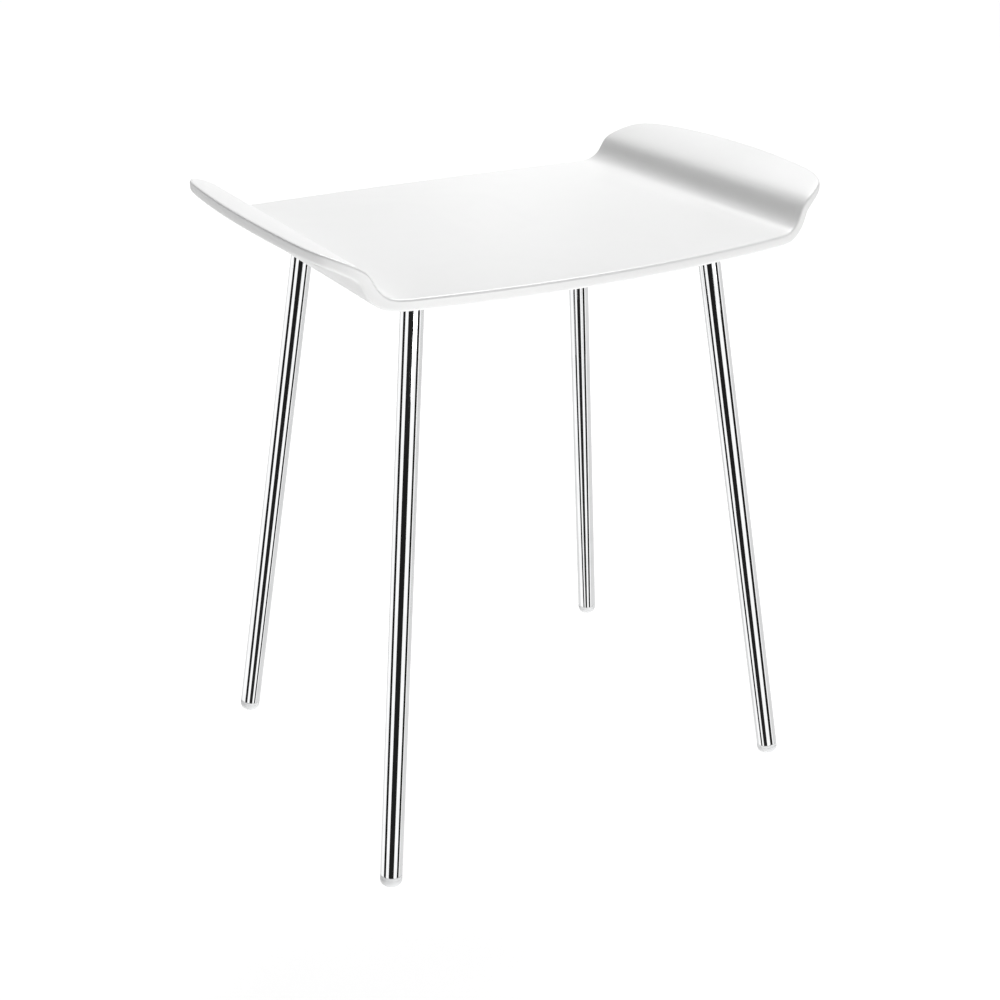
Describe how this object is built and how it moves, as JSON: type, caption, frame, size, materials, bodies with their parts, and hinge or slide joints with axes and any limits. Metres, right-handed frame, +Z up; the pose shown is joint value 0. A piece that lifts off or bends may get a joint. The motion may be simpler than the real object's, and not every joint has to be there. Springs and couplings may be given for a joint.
{
  "type": "shower stool",
  "caption": "Free-standing shower stool with a moulded white seat, two rolled side wings and splayed polished steel tube legs on grey rubber feet.",
  "frame": {"origin": "on the floor, under the middle of the seat", "axes": "+Z up, -Y towards the bowed front edge, the two wings towards -X and +X"},
  "size_m": [0.4654, 0.3298, 0.5259],
  "materials": {
    "white_polymer": "satin moulded polymer",
    "polished_steel": "mirror polished stainless steel",
    "grey_rubber": "soft matt grey",
    "satin_steel": "satin stainless steel",
    "screw_steel": "plain stainless steel",
    "brass": "plain brass"
  },
  "bodies": {
    "root": {"seat": "white_polymer", "leg_front_left": "polished_steel", "leg_front_right": "polished_steel", "leg_rear_left": "polished_steel", "leg_rear_right": "polished_steel", "foot_front_left": "grey_rubber", "foot_front_right": "grey_rubber", "foot_rear_left": "grey_rubber", "foot_rear_right": "grey_rubber", "plate_front_left": "satin_steel", "plate_front_right": "satin_steel", "plate_rear_left": "satin_steel", "plate_rear_right": "satin_steel", "screws_front_left": "screw_steel", "screws_front_right": "screw_steel", "screws_rear_left": "screw_steel", "screws_rear_right": "screw_steel", "inserts_front_left": "brass", "inserts_front_right": "brass", "inserts_rear_left": "brass", "inserts_rear_right": "brass"}
  },
  "joints": []
}
